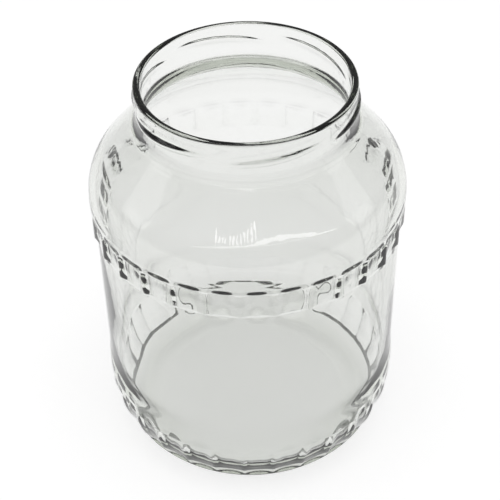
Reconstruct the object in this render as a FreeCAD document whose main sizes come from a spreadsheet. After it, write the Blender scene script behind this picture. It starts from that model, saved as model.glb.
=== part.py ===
"""A wide-mouthed glass preserving jar, open and empty, with a fluted band at the shoulder and at the heel.

The jar is one moulded piece. Its section is revolved about Z, the flutes are cut into that wall,
and the six slanted lugs that hold a twist-off cap are added to its mouth. Lengths are millimetres.
The origin is the centre of the ring that the jar stands on, and +Z is up.
"""
import FreeCAD, Part
import math
import os
import Sketcher
from FreeCAD import Placement, Rotation, Vector

os.makedirs("parts", exist_ok=True)
doc = FreeCAD.newDocument("preserving_jar")

# ---- driving sizes --------------------------------------------------------------------------
SIZES = {
    "overall_height": 193.0,
    # the mouth and its lugs
    "mouth_radius": 48.3,          # outside of the mouth's wall, between the lugs
    "mouth_wall": 3.2,
    "lip_rounding": 1.25,          # both edges of the lip
    "finish_height": 14.9454,      # from the lip down to where the mouth's wall turns into the shoulder
    "lug_count": 6,
    "lug_half_span": 27.0,         # degrees from a lug's middle to where it fades into the wall
    "lug_bulge": 1.35,             # how far a lug stands out at its middle
    "lug_face": 3.6,               # height of a lug's section where it leaves the wall
    "lug_drop": 8.6,               # from the lip down to a lug's middle
    "lug_tail": 4.0,               # degrees that each end of a lug runs on inside the wall
    "lug_slant": 4.4,              # degrees, rising the way a cap is unscrewed
    # the shoulder
    "shoulder_radius": 72.0,
    "shoulder_height": 138.0,      # level of the widest ring
    "shoulder_curve": 26.7,
    "neck_hollow": 8.0,            # outer curve from the shoulder into the mouth's wall
    "neck_lining": 12.0,           # inner curve from the mouth's wall into the shoulder
    "shoulder_wall": 3.3,
    # the fluted band under the shoulder
    "flute_count": 30,
    "flute_depth": 1.2,
    "ridge_relief": 0.08,          # the ridges between flutes lie this far under the plain wall
    "band_top": 133.6,
    "band_foot": 120.6,
    "band_step": 0.6,              # height of the slope from the band's foot to the label panel
    # the label panel and the bead below it
    "panel_inset": 1.7,            # how far the panel lies inside the shoulder's widest ring
    "panel_foot": 52.0,
    "bead_inset": 0.9,             # the same for the bead
    "bead_height": 36.0,           # where the bead's plain face ends and it draws in to the panel
    "body_wall": 3.2,
    # the heel with its own flutes, and the base
    "heel_top": 31.0,              # level where the bead ends and the heel and its flutes begin
    "heel_curve": 43.0,
    "heel_flute_depth": 1.2,
    "heel_flute_sweep": 50.0,      # degrees round the heel that the flutes are cut before the foot is added
    "foot_top": 8.5,               # level where the plain foot ends and the flutes begin
    "foot_depth": 3.5,             # how far the foot reaches into the wall behind it
    "foot_rounding": 2.5,
    "stand_width": 4.5,            # width of the flat ring that the jar stands on
    "push_up": 4.0,                # rise of the base's underside in the middle
    "base_wall": 5.0,
    "inner_heel": 22.0,
    "lining_run": 24.0,            # height over which the inside opens from the body to the shoulder
}

# ---- sizes worked out from them -------------------------------------------------------------
WORKED = {
    "flute_pitch": "360 / flute_count",
    "panel_radius": "shoulder_radius - panel_inset",
    "bead_radius": "shoulder_radius - bead_inset",
    # mouth
    "bore_radius": "mouth_radius - mouth_wall",
    "lip_edge": "overall_height - lip_rounding",
    "lip_outer": "mouth_radius - lip_rounding",
    "lip_inner": "bore_radius + lip_rounding",
    # a lug is a round bar's arc: it swings about a point off the axis, so it fades into the wall
    "lug_level": "overall_height - lug_drop",
    "lug_peak": "mouth_radius + lug_bulge",
    "lug_swing": "(lug_peak ^ 2 + mouth_radius ^ 2 - 2 * lug_peak * mouth_radius * cos(lug_half_span))"
                 " / (2 * (lug_peak - mouth_radius * cos(lug_half_span)))",
    "lug_offset": "lug_peak - lug_swing",
    "lug_round": "((lug_face / 2) ^ 2 + lug_bulge ^ 2) / (2 * lug_bulge)",
    "lug_round_arm": "lug_swing - lug_round",
    "lug_sweep": "2 * (asin(mouth_radius * sin(lug_half_span) / lug_swing) + lug_tail * 1 deg)",
    # shoulder: an arc round (shoulder_middle, shoulder_height) and the neck's round (hollow_r, hollow_z),
    # joined by the straight slope that touches both
    "shoulder_middle": "shoulder_radius - shoulder_curve",
    "hollow_r": "mouth_radius + neck_hollow",
    "hollow_z": "overall_height - finish_height",
    "neck_out": "hollow_r - shoulder_middle",
    "neck_up": "hollow_z - shoulder_height",
    "neck_span": "sqrt(neck_out ^ 2 + neck_up ^ 2)",
    "shoulder_slope": "atan(neck_out / neck_up) + acos((shoulder_curve + neck_hollow) / neck_span)",
    "slope_out": "sin(shoulder_slope)",
    "slope_up": "cos(shoulder_slope)",
    "slope_foot_r": "shoulder_middle + shoulder_curve * slope_out",
    "slope_foot_z": "shoulder_height + shoulder_curve * slope_up",
    "slope_head_r": "hollow_r - neck_hollow * slope_out",
    "slope_head_z": "hollow_z - neck_hollow * slope_up",
    "lining_curve": "shoulder_curve - shoulder_wall",
    "lining_radius": "shoulder_radius - shoulder_wall",
    "lining_foot_r": "shoulder_middle + lining_curve * slope_out",
    "lining_foot_z": "shoulder_height + lining_curve * slope_up",
    "throat_r": "bore_radius + neck_lining",
    "throat_z": "lining_foot_z + (neck_lining - slope_out * (throat_r - lining_foot_r)) / slope_up",
    "lining_head_r": "throat_r - neck_lining * slope_out",
    "lining_head_z": "throat_z - neck_lining * slope_up",
    # upper band
    "band_step_foot": "band_foot - band_step",
    "flute_length": "band_top - band_step_foot",
    "ridge_r": "shoulder_radius - ridge_relief",
    "flute_half_width": "ridge_r * sin(flute_pitch / 2)",
    "flute_hollow": "flute_depth - ridge_r * (1 - cos(flute_pitch / 2))",
    "flute_radius": "(flute_half_width ^ 2 + flute_hollow ^ 2) / (2 * flute_hollow)",
    "flute_arm": "ridge_r - flute_depth + flute_radius",
    # body: two equal arcs join the bead to the panel, and two more the inside to the shoulder
    "body_radius": "panel_radius - body_wall",
    "bead_run": "panel_foot - bead_height",
    "bead_rise": "bead_radius - panel_radius",
    "bead_turn": "(bead_run ^ 2 + bead_rise ^ 2) / (4 * bead_rise)",
    "bead_mid_r": "(bead_radius + panel_radius) / 2",
    "bead_mid_z": "(bead_height + panel_foot) / 2",
    "opening_rise": "lining_radius - body_radius",
    "opening_foot": "shoulder_height - lining_run",
    "opening_turn": "(lining_run ^ 2 + opening_rise ^ 2) / (4 * opening_rise)",
    "opening_mid_r": "(lining_radius + body_radius) / 2",
    "opening_mid_z": "shoulder_height - lining_run / 2",
    # heel: one arc round (heel_middle, heel_top), rounded into the standing ring
    "heel_middle": "bead_radius - heel_curve",
    "foot_arm": "heel_curve - foot_rounding",
    "foot_fall": "heel_top - foot_rounding",
    "foot_reach": "sqrt(foot_arm ^ 2 - foot_fall ^ 2)",
    "stand_outer": "heel_middle + foot_reach",
    "foot_edge_r": "heel_middle + foot_reach * heel_curve / foot_arm",
    "foot_edge_z": "heel_top - foot_fall * heel_curve / foot_arm",
    "foot_radius": "heel_middle + sqrt(heel_curve ^ 2 - (heel_top - foot_top) ^ 2)",
    "foot_back": "foot_radius - foot_depth",
    "foot_back_low": "stand_outer - foot_depth",
    "stand_inner": "stand_outer - stand_width",
    # heel flutes: the same round hollow, swung about the middle of the heel's arc
    "heel_ridge_r": "bead_radius - ridge_relief",
    "heel_flute_half_width": "heel_ridge_r * sin(flute_pitch / 2)",
    "heel_flute_hollow": "heel_flute_depth - heel_ridge_r * (1 - cos(flute_pitch / 2))",
    "heel_flute_radius": "(heel_flute_half_width ^ 2 + heel_flute_hollow ^ 2) / (2 * heel_flute_hollow)",
    "heel_flute_arm": "heel_curve - ridge_relief - heel_flute_depth + heel_flute_radius",
    # base: the underside and the floor are two domes round one point far below
    "dome_radius": "(stand_inner ^ 2 + push_up ^ 2) / (2 * push_up)",
    "floor_radius": "dome_radius + base_wall",
    "floor_middle": "push_up + base_wall",
    "dome_middle": "push_up - dome_radius",
    "corner_r": "body_radius - inner_heel",
    "corner_arm": "floor_radius + inner_heel",
    "corner_rise": "sqrt(corner_arm ^ 2 - corner_r ^ 2)",
    "corner_z": "dome_middle + corner_rise",
    "floor_edge_r": "corner_r * floor_radius / corner_arm",
    "floor_edge_z": "dome_middle + corner_rise * floor_radius / corner_arm",
}

sizes = doc.addObject("Spreadsheet::Sheet", "Sizes")
for row, (alias, value) in enumerate(SIZES.items(), start=1):
    sizes.set(f"A{row}", alias)
    sizes.set(f"B{row}", str(value))
    sizes.setAlias(f"B{row}", alias)
for row, (alias, formula) in enumerate(WORKED.items(), start=len(SIZES) + 2):
    sizes.set(f"A{row}", alias)
    sizes.set(f"B{row}", "=" + formula)
    sizes.setAlias(f"B{row}", alias)
doc.recompute()


def size(alias):
    """The number in the cell of that name."""
    return float(sizes.get(alias))


# ---- the body and its helpers ---------------------------------------------------------------
jar = doc.addObject("PartDesign::Body", "jar")
jar.Label = "jar"


def origin_part(role):
    """One of the body's own origin planes or axes."""
    return next(item for item in jar.Origin.OriginFeatures if item.Role == role)


def new_sketch(name, plane):
    sketch = jar.newObject("Sketcher::SketchObject", name)
    sketch.AttachmentSupport = [(origin_part(plane), "")]
    sketch.MapMode = "FlatFace"
    return sketch


def place(sketch, turn_axis=None, turn=None, **offsets):
    """Tie the sketch's own origin to cells along its plane's axes, and its turn about one of them."""
    if turn:
        sketch.AttachmentOffset = Placement(Vector(), Rotation(turn_axis, size(turn)))
        sketch.setExpression("AttachmentOffset.Rotation.Angle", f"Sizes.{turn}")
    for axis, alias in offsets.items():
        sketch.setExpression(f"AttachmentOffset.Base.{axis}", f"Sizes.{alias}")


def bind(sketch, kind, places, alias):
    """Add a constraint of that kind and tie its value to the cell of that name."""
    index = sketch.addConstraint(Sketcher.Constraint(kind, *places, size(alias)))
    sketch.setExpression(f"Constraints[{index}]", f"Sizes.{alias}")


def bind_point(sketch, curve, end, across, up):
    """Tie a curve's end to a distance across and a height, either of which may be None for zero."""
    for kind, alias in (("DistanceX", across), ("DistanceY", up)):
        if alias:
            bind(sketch, kind, (-1, 1, curve, end), alias)
        else:
            on_axis = -2 if kind == "DistanceX" else -1
            sketch.addConstraint(Sketcher.Constraint("PointOnObject", curve, end, on_axis))


def arc_between(start, stop, radius, turn):
    """A circular arc from start to stop; turn is +1 where it bends left on the way, -1 where right."""
    chord = stop - start
    middle = (start + stop) * 0.5
    side = Vector(-chord.y, chord.x, 0).normalize()
    centre = middle + side * (turn * (radius ** 2 - (chord.Length / 2) ** 2) ** 0.5)
    bulge = middle - centre
    crest = centre + bulge.normalize() * radius
    return Part.Arc(start, crest, stop)


def draw_outline(sketch, corners):
    """Draw a closed outline from (across, up, radius, turn) corners.

    The last two say how the outline reaches the corner: by an arc of that radius, or straight if None.
    """
    def at(corner):
        return Vector(size(corner[0]) if corner[0] else 0, size(corner[1]) if corner[1] else 0, 0)

    curves = []
    for before, corner in zip(corners[-1:] + corners[:-1], corners):
        start, stop = at(before), at(corner)
        if corner[2]:
            shape = arc_between(start, stop, size(corner[2]), corner[3])
            index = sketch.addGeometry(shape, False)
            ends = (1, 2) if corner[3] > 0 else (2, 1)
        else:
            index = sketch.addGeometry(Part.LineSegment(start, stop), False)
            ends = (1, 2)
        curves.append((index, ends))
    for (index, ends), (nxt, nxt_ends) in zip(curves, curves[1:] + curves[:1]):
        sketch.addConstraint(Sketcher.Constraint("Coincident", index, ends[1], nxt, nxt_ends[0]))
    for (index, ends), corner in zip(curves, corners):
        bind_point(sketch, index, ends[1], corner[0], corner[1])
        if corner[2]:
            bind(sketch, "Radius", (index,), corner[2])


def revolve(name, sketch, kind="PartDesign::Revolution"):
    feature = jar.newObject(kind, name)
    feature.Profile = sketch
    feature.ReferenceAxis = (sketch, ["V_Axis"])
    return feature


def repeat(name, feature, count):
    """Repeat a feature evenly round the jar's axis and make the result the body's tip."""
    pattern = jar.newObject("PartDesign::PolarPattern", name)
    pattern.Originals = [feature]
    pattern.Axis = (origin_part("Z_Axis"), [""])
    pattern.Angle = 360
    pattern.setExpression("Occurrences", f"Sizes.{count}")
    jar.Tip = pattern
    return pattern


# ---- the glass wall: one revolved section ---------------------------------------------------
wall_outline = new_sketch("wall_outline", "XZ_Plane")
draw_outline(wall_outline, [
    (None, "push_up", None, 0),
    # underside of the base, the standing ring and the heel
    ("stand_inner", None, "dome_radius", -1),
    ("stand_outer", None, None, 0),
    ("foot_edge_r", "foot_edge_z", "foot_rounding", 1),
    ("bead_radius", "heel_top", "heel_curve", 1),
    ("bead_radius", "bead_height", None, 0),
    # bead, label panel and the plain wall that the upper flutes are cut into
    ("bead_mid_r", "bead_mid_z", "bead_turn", 1),
    ("panel_radius", "panel_foot", "bead_turn", -1),
    ("panel_radius", "band_step_foot", None, 0),
    ("shoulder_radius", "band_foot", None, 0),
    ("shoulder_radius", "shoulder_height", None, 0),
    # shoulder, neck and mouth
    ("slope_foot_r", "slope_foot_z", "shoulder_curve", 1),
    ("slope_head_r", "slope_head_z", None, 0),
    ("mouth_radius", "hollow_z", "neck_hollow", -1),
    ("mouth_radius", "lip_edge", None, 0),
    ("lip_outer", "overall_height", "lip_rounding", 1),
    ("lip_inner", "overall_height", None, 0),
    ("bore_radius", "lip_edge", "lip_rounding", 1),
    # inside, from the mouth down to the floor
    ("bore_radius", "throat_z", None, 0),
    ("lining_head_r", "lining_head_z", "neck_lining", 1),
    ("lining_foot_r", "lining_foot_z", None, 0),
    ("lining_radius", "shoulder_height", "lining_curve", -1),
    ("opening_mid_r", "opening_mid_z", "opening_turn", -1),
    ("body_radius", "opening_foot", "opening_turn", 1),
    ("body_radius", "corner_z", None, 0),
    ("floor_edge_r", "floor_edge_z", "inner_heel", -1),
    (None, "floor_middle", "floor_radius", 1),
])
wall = revolve("wall", wall_outline)
wall.Angle = 360
doc.recompute()


# ---- lugs ------------------------------------------------------------------------------------
lug_outline = new_sketch("lug_outline", "XZ_Plane")
place(lug_outline, Vector(1, 0, 0), "lug_slant", x="lug_offset", y="lug_level")
bar_middle = Vector(size("lug_round_arm"), 0, 0)
bar = Part.Circle(bar_middle, Vector(0, 0, 1), size("lug_round"))
round_side = lug_outline.addGeometry(Part.ArcOfCircle(bar, -math.pi / 2, math.pi / 2), False)
half_height = Vector(0, size("lug_round"), 0)
flat = Part.LineSegment(bar_middle + half_height, bar_middle - half_height)
flat_side = lug_outline.addGeometry(flat, False)
lug_outline.addConstraint([
    Sketcher.Constraint("Coincident", round_side, 2, flat_side, 1),
    Sketcher.Constraint("Coincident", flat_side, 2, round_side, 1),
    Sketcher.Constraint("Vertical", flat_side),
    Sketcher.Constraint("PointOnObject", round_side, 3, flat_side),
])
bind_point(lug_outline, round_side, 3, "lug_round_arm", None)
bind(lug_outline, "Radius", (round_side,), "lug_round")
lug = revolve("lug", lug_outline)
lug.Midplane = True
lug.setExpression("Angle", "Sizes.lug_sweep")
doc.recompute()
repeat("lugs", lug, "lug_count")


# ---- flutes: round hollows side by side, which leave sharp ridges between them ---------------
def flute_outline(name, arm, radius):
    """A circle on a level plane, with its middle that far out along the plane's own X."""
    sketch = new_sketch(name, "XY_Plane")
    circle = Part.Circle(Vector(size(arm), 0, 0), Vector(0, 0, 1), size(radius))
    index = sketch.addGeometry(circle, False)
    bind_point(sketch, index, 3, arm, None)
    bind(sketch, "Radius", (index,), radius)
    return sketch


band_outline = flute_outline("band_outline", "flute_arm", "flute_radius")
place(band_outline, z="band_top")
band_flute = jar.newObject("PartDesign::Pocket", "band_flute")
band_flute.Profile = band_outline
band_flute.setExpression("Length", "Sizes.flute_length")
doc.recompute()
repeat("band_flutes", band_flute, "flute_count")

heel_outline = flute_outline("heel_outline", "heel_flute_arm", "heel_flute_radius")
place(heel_outline, x="heel_middle", z="heel_top")
heel_flute = revolve("heel_flute", heel_outline, "PartDesign::Groove")
heel_flute.setExpression("Angle", "Sizes.heel_flute_sweep")
doc.recompute()
repeat("heel_flutes", heel_flute, "flute_count")

# ---- foot: the plain ring under the heel's flutes -------------------------------------------
foot_outline = new_sketch("foot_outline", "XZ_Plane")
draw_outline(foot_outline, [
    ("foot_back_low", None, None, 0),
    ("stand_outer", None, None, 0),
    ("foot_edge_r", "foot_edge_z", "foot_rounding", 1),
    ("foot_radius", "foot_top", "heel_curve", 1),
    ("foot_back", "foot_top", None, 0),
])
foot = revolve("foot", foot_outline)
foot.Angle = 360
jar.Tip = foot
doc.recompute()

# ---- check and write -------------------------------------------------------------------------
for item in doc.Objects:
    if {"Invalid", "Error"} & set(item.State):
        raise RuntimeError(f"{item.Name} could not be built: {item.State}")
if jar.Shape.isNull() or not jar.Shape.isValid() or len(jar.Shape.Solids) != 1:
    raise RuntimeError(f"{jar.Label} is not one sound solid")
jar.Shape.exportStep(f"parts/{jar.Label}.step")
box = jar.Shape.optimalBoundingBox()
print(f"{jar.Label}: {jar.Shape.Volume / 1000:.1f} cm3, {box.XLength:.2f} x {box.YLength:.2f}"
      f" x {box.ZLength:.2f} mm, lowest {box.ZMin:.3f}")
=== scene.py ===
"""Looks of the preserving jar: one closed glass mesh, its material, and a plain pale studio."""
import math

import bpy
import numpy as np
from mathutils import Matrix, Vector


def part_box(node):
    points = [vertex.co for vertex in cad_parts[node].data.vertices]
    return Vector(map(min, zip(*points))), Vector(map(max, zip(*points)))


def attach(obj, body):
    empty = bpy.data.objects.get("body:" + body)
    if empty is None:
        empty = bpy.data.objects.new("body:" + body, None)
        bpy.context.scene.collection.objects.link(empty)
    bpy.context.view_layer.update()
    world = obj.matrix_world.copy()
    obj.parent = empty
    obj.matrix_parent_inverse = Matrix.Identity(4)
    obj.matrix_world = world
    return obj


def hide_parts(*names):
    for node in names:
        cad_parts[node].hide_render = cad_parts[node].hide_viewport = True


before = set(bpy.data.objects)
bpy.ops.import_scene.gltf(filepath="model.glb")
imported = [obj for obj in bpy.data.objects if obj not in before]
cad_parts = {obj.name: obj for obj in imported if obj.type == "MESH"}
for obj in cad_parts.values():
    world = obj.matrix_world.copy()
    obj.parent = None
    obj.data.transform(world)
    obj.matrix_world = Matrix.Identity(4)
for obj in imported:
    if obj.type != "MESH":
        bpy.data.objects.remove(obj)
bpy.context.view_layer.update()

MM = 0.001
low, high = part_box("jar")

# ---- sizes of the section: millimetres, and slopes in radians from level -----------------------
HEIGHT = (high[2] - low[2]) / MM
WIDEST = (high[0] - low[0]) / MM / 2
MOUTH_RADIUS = 48.3
MOUTH_WALL = 3.2
LIP_ROUNDING = 1.25
SHOULDER_HEIGHT = 138.0
SHOULDER_CURVE = 26.7
SHOULDER_SLOPE = math.radians(48.7)
NECK_HOLLOW = 8.0
BAND_TOP, BAND_FOOT = 133.6, 120.6
PANEL_RADIUS, PANEL_FOOT = 70.3, 52.0
BEAD_RADIUS, BEAD_HEIGHT = 71.1, 36.0
HEEL_TOP, HEEL_CURVE, FOOT_TOP = 31.0, 43.0, 8.5
FOOT_ROUNDING, STAND_WIDTH = 2.5, 4.5

# the inside
SHOULDER_WALL = 3.3
LINING_SLOPE = math.radians(44)
NECK_LINING = 12.0
LINING_RUN = 24.0
BODY_WALL = 3.2
PUSH_UP, BASE_WALL, INNER_HEEL = 4.0, 5.0, 22.0

# worked out from those
LIP_EDGE = HEIGHT - LIP_ROUNDING
SHOULDER_MIDDLE = WIDEST - SHOULDER_CURVE
HEEL_MIDDLE = BEAD_RADIUS - HEEL_CURVE
FOOT_TURN = math.asin((HEEL_TOP - FOOT_TOP) / HEEL_CURVE)
FOOT_FALL = HEEL_TOP - FOOT_ROUNDING
FOOT_REACH = math.sqrt((HEEL_CURVE - FOOT_ROUNDING) ** 2 - FOOT_FALL ** 2)
STAND_OUTER = HEEL_MIDDLE + FOOT_REACH
STAND_INNER = STAND_OUTER - STAND_WIDTH
DOME_RADIUS = (STAND_INNER ** 2 + PUSH_UP ** 2) / (2 * PUSH_UP)
DOME_LEVEL = PUSH_UP - DOME_RADIUS

# ---- sizes of the relief; each fade is where it has nothing, then where it is full --------------
FLUTES = 30
RIDGE_RELIEF = 0.08                                 # how far the ridges lie inside the plain wall
FLUTE_DEPTH = 1.45
FLUTE_FADE = (BAND_TOP + 0.5, BAND_TOP - 0.9)       # heights over which the flutes come in
PANEL_FADE = (BAND_FOOT + 0.6, BAND_FOOT - 1.2)     # heights over which the panel takes over
HEEL_FLUTE_DEPTH = 1.2
HEEL_TOP_FADE = (-0.5, 0.9)                         # along the heel's curve from its top
HEEL_FOOT_FADE = (0.2, -1.2)                        # along the heel's curve from the flutes' foot
IMPRINT = 0.95                                      # how far a flute's middle pushes the inside in
IMPRINT_FADES = (BAND_TOP + 1.0, BAND_TOP - 1.7), (BAND_FOOT - 6.5, BAND_FOOT + 6.5)
HEEL_IMPRINT = 0.6                                  # the same at the heel
HEEL_IMPRINT_FADES = (33, 28), (11, 19)
HEEL_IMPRINT_INNER = 45                             # the base's floor, inside this radius, has none

LUGS = 6
LUG_HALF_SPAN = math.radians(27)
LUG_BULGE = 1.35
LUG_FACE = 3.6
LUG_LEVEL = HEIGHT - 8.6
LUG_SLANT = math.tan(math.radians(4.4))
LUG_ROOT = 0.35                                     # rounding where a lug leaves the wall
LUG_FALL = 3                                        # how steeply its bar goes on past its edge

SEED = 7
WAVES = 14                                          # slow unevenness of the inside
WAVE_LOBES = (1, 9)                                 # waves round the jar, the second not reached
WAVE_PITCH = (0.02, 0.09)                           # radians for each millimetre up
WAVE_SIZE = (0.02, 0.07)
WAVES_TOP, WAVES_TOP_FADE = 176, 30                 # they end here, and fade in below it
WAVES_INNER_FADE = 40                               # they fade towards the axis inside this radius

# ---- spacing of the mesh -----------------------------------------------------------------------
AROUND = 360                                        # columns, twelve to a flute
HEEL_FINE, HEEL_FINE_ROWS = 0.3, 5                  # rows at each end of the heel's flutes
HEEL_FIRST, HEEL_LAST, HEEL_ROWS = 2.2, 1.8, 13     # rows between: from the foot, from the top
HEEL_MARGIN = 0.5                                   # plain fine rows above the heel
BAND_START = BAND_FOOT - 3.0
BAND_ROWS = (                                       # height that each run ends at, and its step
    (BAND_FOOT - 1.4, 0.8), (BAND_FOOT + 0.8, 0.2), (BAND_TOP - 4.0, 1.6),
    (BAND_TOP - 1.2, 0.7), (BAND_TOP + 0.8, 0.2), (BAND_TOP + 1.5, 0.7),
)
LINING_FINE = BAND_TOP - 3.5                        # below this, one row of the inside in three

# ---- glass ---------------------------------------------------------------------------------------
GLASS_IOR = 1.52
GLASS_COLOUR = (0.945, 0.945, 0.945, 1)
DEPTH_COLOUR, DEPTH_DENSITY = (0.52, 0.57, 0.46, 1), 36.0
BUMP_DISTANCE = 0.0005
WAVY_SCALE, WAVY_DETAIL, WAVY_STRENGTH = 55.0, 2.0, 0.05
RIPPLE_SCALE, RIPPLE_DETAIL, RIPPLE_STRENGTH = 300, 1.0, 0.045
RIPPLE_SQUEEZE = 0.05                               # height shrunk by this: long upright streaks
RIPPLE_FOOT, RIPPLE_FULL = 146, 152                 # millimetres up: none, then all of it

# ---- studio, in metres ---------------------------------------------------------------------------
FLOOR_HALF = 30.0
FLOOR_DROP = 0.0002                                 # keeps the floor just clear of the jar's foot
FLOOR_GREY = (0.5, 0.5, 0.5, 1)
FLOOR_GLOW = 0.74                                   # what the camera and the glass see of it
WORLD_GREY = (0.33, 0.33, 0.33, 1)
TURN = math.radians(15.46)                          # how far round the camera is, -Y towards +X
LAMP_AWAY, LAMP_AIM = 1.6, 0.1                      # every lamp's distance, and the height aimed at
TUBES = 12                                          # tubes that the shoulder mirrors as streaks
TUBES_MIDDLE, TUBES_PITCH = -10, 2.8                # degrees round
TUBES_LEVEL, TUBES_TILT = 41.0, 0.07                # degrees up, and up for each degree round

TALL = HEIGHT * MM
CAMERA_AWAY = 3.03158 * TALL
CAMERA_UP = 0.71654                                 # radians above level
CAMERA_ROLL = -0.01859
LOOK_AT = (0.00301 * TALL, 0.0, 0.49891 * TALL)
LENS, SENSOR, NEAREST = 88.32, 36.0, 0.01


# ---- the section as rows of (radius, height) -----------------------------------------------------
def line(start, stop, step):
    """Evenly spaced points on a straight line; the start is left out."""
    count = max(1, round(math.dist(start, stop) / step))
    return [(start[0] + (stop[0] - start[0]) * k / count,
             start[1] + (stop[1] - start[1]) * k / count) for k in range(1, count + 1)]


def arc(middle, radius, start, stop, step):
    """Points on an arc between two angles in radians; the first angle's point is left out."""
    count = max(2, round(abs(stop - start) * radius / step))
    return [(middle[0] + radius * math.cos(start + (stop - start) * k / count),
             middle[1] + radius * math.sin(start + (stop - start) * k / count))
            for k in range(1, count + 1)]


def swing(start, stop, step):
    """Two equal arcs that carry a wall from one radius to another, upright at both ends."""
    run, rise = stop[1] - start[1], stop[0] - start[0]
    count = max(4, round(abs(run) / step))
    turn = (run ** 2 + rise ** 2) / (4 * abs(rise))
    rows = []
    for k in range(1, count + 1):
        share = k / count
        near = min(share, 1 - share) * abs(run)
        off = math.copysign(turn - math.sqrt(turn ** 2 - near ** 2), rise)
        rows.append((start[0] + off if share < 0.5 else stop[0] - off, start[1] + run * share))
    return rows


def neck(curve, slope, wall_radius, rounding):
    """Both ends of the shoulder's straight slope, and the middle of the rounding above it."""
    slope_out, slope_up = math.sin(slope), math.cos(slope)
    foot = (SHOULDER_MIDDLE + curve * slope_out, SHOULDER_HEIGHT + curve * slope_up)
    middle_r = wall_radius + rounding
    middle_z = foot[1] + (rounding - slope_out * (middle_r - foot[0])) / slope_up
    head = (middle_r - rounding * slope_out, middle_z - rounding * slope_up)
    return foot, head, (middle_r, middle_z)


def heel_rows():
    """The heel's fluted rows from the foot up, fine at both ends, where the flutes fade."""
    fine = [k * HEEL_FINE / HEEL_CURVE for k in range(HEEL_FINE_ROWS)]
    first, last = FOOT_TURN - HEEL_FIRST / HEEL_CURVE, HEEL_LAST / HEEL_CURVE
    turns = [FOOT_TURN - turn for turn in fine]
    turns += list(np.linspace(first, last, HEEL_ROWS))
    turns += fine[::-1]
    return [(HEEL_MIDDLE + HEEL_CURVE * math.cos(turn), HEEL_TOP - HEEL_CURVE * math.sin(turn))
            for turn in turns]


def outer_rows():
    """From the middle of the underside, round the heel and up over the lip, each with its tag."""
    foot_edge = math.atan2(FOOT_FALL, FOOT_REACH)
    dome_half = math.asin(STAND_INNER / DOME_RADIUS)
    level, upright = 0, math.pi / 2
    rows = []

    def add(points, tag="plain"):
        rows.extend((r, z, tag) for r, z in points)

    add(arc((0, DOME_LEVEL), DOME_RADIUS, upright, upright - dome_half, step=5.0))
    add(line((STAND_INNER, 0), (STAND_OUTER, 0), step=2.2))
    add(arc((STAND_OUTER, FOOT_ROUNDING), FOOT_ROUNDING, -upright, -foot_edge, step=0.4))
    add(arc((HEEL_MIDDLE, HEEL_TOP), HEEL_CURVE, -foot_edge, -FOOT_TURN, step=1.8))
    add(heel_rows(), "heel")
    heel_end = (BEAD_RADIUS, HEEL_TOP + HEEL_MARGIN)
    add(line((BEAD_RADIUS, HEEL_TOP), heel_end, step=0.25))
    add(line(heel_end, (BEAD_RADIUS, BEAD_HEIGHT), step=1.5))
    add(swing((BEAD_RADIUS, BEAD_HEIGHT), (PANEL_RADIUS, PANEL_FOOT), step=2.0))
    add(line((PANEL_RADIUS, PANEL_FOOT), (PANEL_RADIUS, BAND_START), step=8.0))
    reached = (WIDEST, BAND_START)
    for stop, step in BAND_ROWS:
        add(line(reached, (WIDEST, stop), step), "band")
        reached = (WIDEST, stop)
    add(line(reached, (WIDEST, SHOULDER_HEIGHT), step=1.2))
    shoulder_middle = (SHOULDER_MIDDLE, SHOULDER_HEIGHT)
    foot, head, hollow = neck(SHOULDER_CURVE, SHOULDER_SLOPE, MOUTH_RADIUS, NECK_HOLLOW)
    add(arc(shoulder_middle, SHOULDER_CURVE, level, upright - SHOULDER_SLOPE, step=1.6))
    add(line(foot, head, step=4.0))
    add(arc(hollow, NECK_HOLLOW, -upright - SHOULDER_SLOPE, -math.pi, step=0.8))
    add(line((MOUTH_RADIUS, hollow[1]), (MOUTH_RADIUS, LIP_EDGE), step=0.5), "mouth")
    add(arc((MOUTH_RADIUS - LIP_ROUNDING, LIP_EDGE), LIP_ROUNDING, level, upright, step=0.28))
    return rows


def inner_rows():
    """From the lip's inner edge down to the middle of the floor."""
    bore = MOUTH_RADIUS - MOUTH_WALL
    body = PANEL_RADIUS - BODY_WALL
    curve = SHOULDER_CURVE - SHOULDER_WALL
    foot, head, throat = neck(curve, LINING_SLOPE, bore, NECK_LINING)
    lining_end = (body, SHOULDER_HEIGHT - LINING_RUN)
    floor_radius = DOME_RADIUS + BASE_WALL
    corner_r = body - INNER_HEEL
    corner_z = DOME_LEVEL + math.sqrt((floor_radius + INNER_HEEL) ** 2 - corner_r ** 2)
    lean = math.asin(corner_r / (floor_radius + INNER_HEEL))
    level, upright = 0, math.pi / 2

    rows = line((MOUTH_RADIUS - LIP_ROUNDING, HEIGHT), (bore + LIP_ROUNDING, HEIGHT), step=0.7)
    rows += arc((bore + LIP_ROUNDING, LIP_EDGE), LIP_ROUNDING, upright, math.pi, step=0.28)
    rows += line((bore, LIP_EDGE), (bore, throat[1]), step=3.0)
    rows += arc(throat, NECK_LINING, math.pi, 1.5 * math.pi - LINING_SLOPE, step=1.0)
    rows += line(head, foot, step=4.0)
    shoulder_middle = (SHOULDER_MIDDLE, SHOULDER_HEIGHT)
    rows += arc(shoulder_middle, curve, upright - LINING_SLOPE, level, step=1.6)
    opening = swing((SHOULDER_MIDDLE + curve, SHOULDER_HEIGHT), lining_end, step=0.5)
    rows += [row for k, row in enumerate(opening) if row[1] > LINING_FINE or k % 3 == 2]
    rows += line(lining_end, (body, corner_z), step=4.0)
    rows += arc((corner_r, corner_z), INNER_HEEL, level, -(upright + lean), step=1.8)
    rows += arc((0, DOME_LEVEL), floor_radius, upright - lean, upright, step=5.0)
    return [(r, z, "inside") for r, z in rows]


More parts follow.
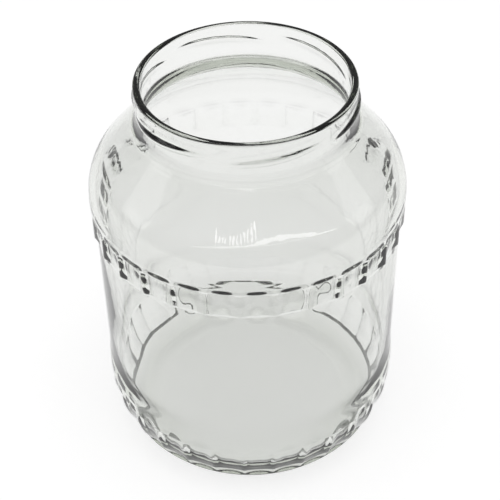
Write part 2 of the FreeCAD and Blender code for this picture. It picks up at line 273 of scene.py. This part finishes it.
# ---- relief --------------------------------------------------------------------------------------
def ramp(value, start, stop):
    """0 at start and 1 at stop, smooth at both ends."""
    share = max(0.0, min(1.0, (value - start) / (stop - start)))
    return share * share * (3 - 2 * share)


def wrapped(angle, count):
    """Angle from the nearest of that many evenly spaced places, the first of them on +X."""
    pitch = 2 * math.pi / count
    return (angle + pitch / 2) % pitch - pitch / 2


def hollow_of(ridge_r, depth):
    """Radius of the round hollow that runs between two ridges and is that deep at its middle."""
    half = ridge_r * math.sin(math.pi / FLUTES)
    sag = depth - ridge_r * (1 - math.cos(math.pi / FLUTES))
    return (half ** 2 + sag ** 2) / (2 * sag)


def band_radius(z, angle):
    """The band: round hollows side by side, soft where they start and where they end."""
    ridge = WIDEST - RIDGE_RELIEF
    hollow = hollow_of(ridge, FLUTE_DEPTH)
    arm = ridge - FLUTE_DEPTH + hollow
    off = wrapped(angle, FLUTES)
    flute = arm * np.cos(off) - np.sqrt(hollow ** 2 - (arm * np.sin(off)) ** 2)
    wall = WIDEST + (flute - WIDEST) * ramp(z, *FLUTE_FADE)
    return wall + (PANEL_RADIUS - wall) * ramp(z, *PANEL_FADE)


def heel_point(blank, z, angle):
    """(radius, height) on the heel's flutes for a row of the plain heel."""
    turn = math.asin((HEEL_TOP - z) / HEEL_CURVE)
    from_top = [edge / HEEL_CURVE for edge in HEEL_TOP_FADE]
    from_foot = [FOOT_TURN + edge / HEEL_CURVE for edge in HEEL_FOOT_FADE]
    share = ramp(turn, *from_top) * ramp(turn, *from_foot)
    ridge = BEAD_RADIUS - RIDGE_RELIEF
    hollow = hollow_of(ridge, HEEL_FLUTE_DEPTH)
    arm = HEEL_CURVE - RIDGE_RELIEF - HEEL_FLUTE_DEPTH + hollow
    off = wrapped(angle, FLUTES)
    reach = arm - np.sqrt(hollow ** 2 - (blank * np.sin(off)) ** 2)
    flute_r = (HEEL_MIDDLE + reach * math.cos(turn)) / np.cos(off)
    flute_z = HEEL_TOP - reach * math.sin(turn)
    return blank + (flute_r - blank) * share, z + (flute_z - z) * share


def mouth_radius(z, angle):
    """The mouth's wall with its lugs: round bars that swing in and out of it."""
    peak = MOUTH_RADIUS + LUG_BULGE
    reach = MOUTH_RADIUS * math.cos(LUG_HALF_SPAN)
    swing_r = (peak ** 2 + MOUTH_RADIUS ** 2 - 2 * peak * reach) / (2 * (peak - reach))
    offset = peak - swing_r
    bar = ((LUG_FACE / 2) ** 2 + LUG_BULGE ** 2) / (2 * LUG_BULGE)
    off = wrapped(angle, LUGS)
    middle = offset * np.cos(off) + np.sqrt((swing_r - bar) ** 2 - (offset * np.sin(off)) ** 2)
    drop = z - (LUG_LEVEL + LUG_SLANT * MOUTH_RADIUS * np.sin(off))
    past = np.maximum(np.abs(drop) - bar, 0)
    crest = middle + np.sqrt(np.maximum(bar ** 2 - drop ** 2, 0)) - LUG_FALL * past
    gap = crest - MOUTH_RADIUS
    # the wall or the lug, whichever is further out, with the corner between them rounded
    blend = np.maximum(LUG_ROOT - np.abs(gap), 0) / LUG_ROOT
    return MOUTH_RADIUS + np.maximum(gap, 0) + blend ** 2 * LUG_ROOT / 4


def lining_waves(rng):
    """Waves round and up the inside, as blown glass has them: lobes, pitch, phase and size."""
    waves = []
    for _ in range(WAVES):
        waves.append((rng.integers(*WAVE_LOBES), rng.uniform(*WAVE_PITCH),
                      rng.uniform(0, 2 * math.pi), rng.uniform(*WAVE_SIZE)))
    return waves


def imprint(z, angle, depth, fades):
    """How far the flutes push the inside in, between the fades at their top and at their foot."""
    top, foot = fades
    window = ramp(z, *top) * ramp(z, *foot)
    return depth * window * (0.5 + 0.5 * np.cos(FLUTES * angle))


def lining_radius(blank, z, angle, waves):
    """The inside, with its waves and the imprints of the band's flutes and of the heel's."""
    radius = np.full(AROUND, blank)
    if z >= WAVES_TOP:
        return radius
    fade = min(1, (WAVES_TOP - z) / WAVES_TOP_FADE) * min(1, blank / WAVES_INNER_FADE)
    for lobes, pitch, phase, size in waves:
        radius = radius + fade * size * np.sin(lobes * angle + pitch * z + phase)
    radius = radius - imprint(z, angle, IMPRINT, IMPRINT_FADES)
    if blank > HEEL_IMPRINT_INNER:
        radius = radius - imprint(z, angle, HEEL_IMPRINT, HEEL_IMPRINT_FADES)
    return radius


def glass_mesh():
    """The outside and the inside as one closed skin of rings, with a fan at each end."""
    angle = np.arange(AROUND) * 2 * math.pi / AROUND
    waves = lining_waves(np.random.default_rng(SEED))
    rows = outer_rows() + inner_rows()
    rows.pop()                       # the last is on the axis, where one point closes the floor
    verts = [(0, 0, PUSH_UP)]
    for blank, z, tag in rows:
        radius = np.full(AROUND, blank)
        height = np.full(AROUND, z)
        if tag == "band":
            radius = band_radius(z, angle)
        elif tag == "heel":
            radius, height = heel_point(blank, z, angle)
        elif tag == "mouth":
            radius = mouth_radius(z, angle)
        elif tag == "inside":
            radius = lining_radius(blank, z, angle, waves)
        for a, r, h in zip(angle, radius, height):
            verts.append((r * math.cos(a), r * math.sin(a), h))
    verts.append((0, 0, PUSH_UP + BASE_WALL))

    first, last = 0, len(verts) - 1
    rings = [1 + row * AROUND for row in range(len(rows))]
    faces = []
    for j in range(AROUND):
        k = (j + 1) % AROUND
        faces.append((first, rings[0] + k, rings[0] + j))
        faces.extend((a + j, a + k, b + k, b + j) for a, b in zip(rings, rings[1:]))
        faces.append((rings[-1] + j, rings[-1] + k, last))
    mesh = bpy.data.meshes.new("jar_glass")
    mesh.from_pydata([(x * MM, y * MM, z * MM) for x, y, z in verts], [], faces)
    mesh.update()
    mesh.polygons.foreach_set("use_smooth", [True] * len(mesh.polygons))
    return mesh


# ---- materials -----------------------------------------------------------------------------------
def empty_tree(material):
    """The material's node tree with nothing in it."""
    material.use_nodes = True
    tree = material.node_tree
    tree.nodes.clear()
    return tree


def add_node(tree, kind, inputs=None, **settings):
    """A node with these settings, and these values on its inputs by name or number."""
    node = tree.nodes.new(kind)
    for name, value in settings.items():
        setattr(node, name, value)
    for name, value in (inputs or {}).items():
        node.inputs[name].default_value = value
    return node


def glass_material():
    """Clear glass, a little green in its depth, with slow waves and an upright ripple as bump."""
    material = bpy.data.materials.new("clear_glass")
    tree = empty_tree(material)
    link = tree.links.new
    out = add_node(tree, "ShaderNodeOutputMaterial")
    glass = add_node(tree, "ShaderNodeBsdfPrincipled", {
        "IOR": GLASS_IOR, "Transmission Weight": 1.0, "Roughness": 0.0,
        "Base Color": GLASS_COLOUR})
    depth = add_node(tree, "ShaderNodeVolumeAbsorption", {
        "Color": DEPTH_COLOUR, "Density": DEPTH_DENSITY})
    link(depth.outputs["Volume"], out.inputs["Volume"])
    link(glass.outputs["BSDF"], out.inputs["Surface"])

    place = add_node(tree, "ShaderNodeTexCoord")
    wavy = add_node(tree, "ShaderNodeTexNoise", {"Scale": WAVY_SCALE, "Detail": WAVY_DETAIL})
    link(place.outputs["Object"], wavy.inputs["Vector"])
    wavy_bump = add_node(tree, "ShaderNodeBump", {
        "Strength": WAVY_STRENGTH, "Distance": BUMP_DISTANCE})
    link(wavy.outputs["Fac"], wavy_bump.inputs["Height"])

    # moulding ripple of the shoulder: fine upright streaks above a height, over the slow waves
    parts = add_node(tree, "ShaderNodeSeparateXYZ")
    link(place.outputs["Object"], parts.inputs[0])
    squeeze = add_node(tree, "ShaderNodeMapping", {"Scale": (1, 1, RIPPLE_SQUEEZE)})
    link(place.outputs["Object"], squeeze.inputs["Vector"])
    fine = add_node(tree, "ShaderNodeTexNoise", {"Scale": RIPPLE_SCALE, "Detail": RIPPLE_DETAIL})
    link(squeeze.outputs["Vector"], fine.inputs["Vector"])
    window = add_node(tree, "ShaderNodeMapRange", {
        "From Min": RIPPLE_FOOT * MM, "From Max": RIPPLE_FULL * MM},
        interpolation_type="SMOOTHSTEP")
    link(parts.outputs["Z"], window.inputs["Value"])
    ripple = add_node(tree, "ShaderNodeMath", operation="MULTIPLY")
    link(fine.outputs["Fac"], ripple.inputs[0])
    link(window.outputs["Result"], ripple.inputs[1])
    ripple_bump = add_node(tree, "ShaderNodeBump", {
        "Strength": RIPPLE_STRENGTH, "Distance": BUMP_DISTANCE})
    link(ripple.outputs[0], ripple_bump.inputs["Height"])
    link(wavy_bump.outputs["Normal"], ripple_bump.inputs["Normal"])
    link(ripple_bump.outputs["Normal"], glass.inputs["Normal"])
    return material


def floor_material():
    """Grey paper that takes the shadow, and glows for the camera and for what the glass shows."""
    material = bpy.data.materials.new("pale_floor")
    tree = empty_tree(material)
    link = tree.links.new
    out = add_node(tree, "ShaderNodeOutputMaterial")
    paper = add_node(tree, "ShaderNodeBsdfDiffuse", {"Color": FLOOR_GREY})
    glow = add_node(tree, "ShaderNodeEmission", {"Color": (1, 1, 1, 1)})
    path = add_node(tree, "ShaderNodeLightPath")
    seen = path.outputs["Is Camera Ray"]
    for ray in ("Is Glossy Ray", "Is Transmission Ray"):
        either = add_node(tree, "ShaderNodeMath", operation="MAXIMUM")
        link(seen, either.inputs[0])
        link(path.outputs[ray], either.inputs[1])
        seen = either.outputs[0]
    level = add_node(tree, "ShaderNodeMath", {1: FLOOR_GLOW}, operation="MULTIPLY")
    link(seen, level.inputs[0])
    link(level.outputs[0], glow.inputs["Strength"])
    both = add_node(tree, "ShaderNodeAddShader")
    link(paper.outputs[0], both.inputs[0])
    link(glow.outputs[0], both.inputs[1])
    link(both.outputs[0], out.inputs["Surface"])
    return material


# ---- the jar -------------------------------------------------------------------------------------
jar = bpy.data.objects.new("jar_glass", glass_mesh())
bpy.context.scene.collection.objects.link(jar)
jar.data.materials.append(glass_material())
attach(jar, "root")
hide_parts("jar")

# ---- floor and surroundings ----------------------------------------------------------------------
floor_corners = [(x * FLOOR_HALF, y * FLOOR_HALF, 0)
                 for x, y in ((-1, -1), (1, -1), (1, 1), (-1, 1))]
floor_mesh = bpy.data.meshes.new("floor")
floor_mesh.from_pydata(floor_corners, [], [(0, 1, 2, 3)])
floor = bpy.data.objects.new("floor", floor_mesh)
floor.location.z = -FLOOR_DROP
bpy.context.scene.collection.objects.link(floor)
floor.data.materials.append(floor_material())

world = bpy.data.worlds.new("studio")
world.use_nodes = True
world.node_tree.nodes["Background"].inputs["Color"].default_value = WORLD_GREY
world.node_tree.nodes["Background"].inputs["Strength"].default_value = 1.0
bpy.context.scene.world = world


# ---- lamps ---------------------------------------------------------------------------------------
def soft_box(name, azimuth, elevation, wide, tall, radiance):
    """A lamp round the jar: degrees from the camera's side towards its right, and above level."""
    turn, rise = math.radians(azimuth), math.radians(elevation)
    lamp = bpy.data.lights.new(name, "AREA")
    lamp.shape = "RECTANGLE"
    lamp.size, lamp.size_y = wide, tall
    lamp.energy = radiance * math.pi * wide * tall
    item = bpy.data.objects.new(name, lamp)
    aim = Vector((0, 0, LAMP_AIM))
    ahead = Vector((math.sin(turn) * math.cos(rise), -math.cos(turn) * math.cos(rise),
                    math.sin(rise)))
    item.location = Matrix.Rotation(TURN, 3, "Z") @ (aim + ahead * LAMP_AWAY)
    item.rotation_euler = (aim - item.location).to_track_quat("-Z", "Y").to_euler()
    bpy.context.scene.collection.objects.link(item)


soft_box("front_box", azimuth=13, elevation=40.4, wide=3.2, tall=0.035, radiance=4.0)
for tube in range(TUBES):
    along = (tube - (TUBES - 1) / 2) * TUBES_PITCH
    soft_box(f"grid_tube_{tube}", azimuth=TUBES_MIDDLE + along,
             elevation=TUBES_LEVEL + along * TUBES_TILT, wide=0.022, tall=0.05, radiance=6.0)
soft_box("left_box", azimuth=-86, elevation=22, wide=0.6, tall=0.5, radiance=0.9)
soft_box("right_box", azimuth=86, elevation=20, wide=0.6, tall=0.5, radiance=0.9)
soft_box("top_box", azimuth=0, elevation=84, wide=1.4, tall=1.0, radiance=1.6)

# ---- camera --------------------------------------------------------------------------------------
forward = Vector((0, math.cos(CAMERA_UP), -math.sin(CAMERA_UP)))
across = Vector((1, 0, 0))
upward = across.cross(forward)
right = across * math.cos(CAMERA_ROLL) + upward * math.sin(CAMERA_ROLL)
top = upward * math.cos(CAMERA_ROLL) - across * math.sin(CAMERA_ROLL)
pose = Matrix((right, top, -forward)).transposed().to_4x4()
pose.translation = Vector(LOOK_AT) - forward * CAMERA_AWAY
camera = bpy.data.objects.new("camera", bpy.data.cameras.new("camera"))
camera.data.lens = LENS
camera.data.sensor_width = SENSOR
camera.data.clip_start = NEAREST
camera.matrix_world = Matrix.Rotation(TURN, 4, "Z") @ pose
bpy.context.scene.collection.objects.link(camera)
bpy.context.scene.camera = camera

bpy.context.scene.view_settings.view_transform = "Standard"
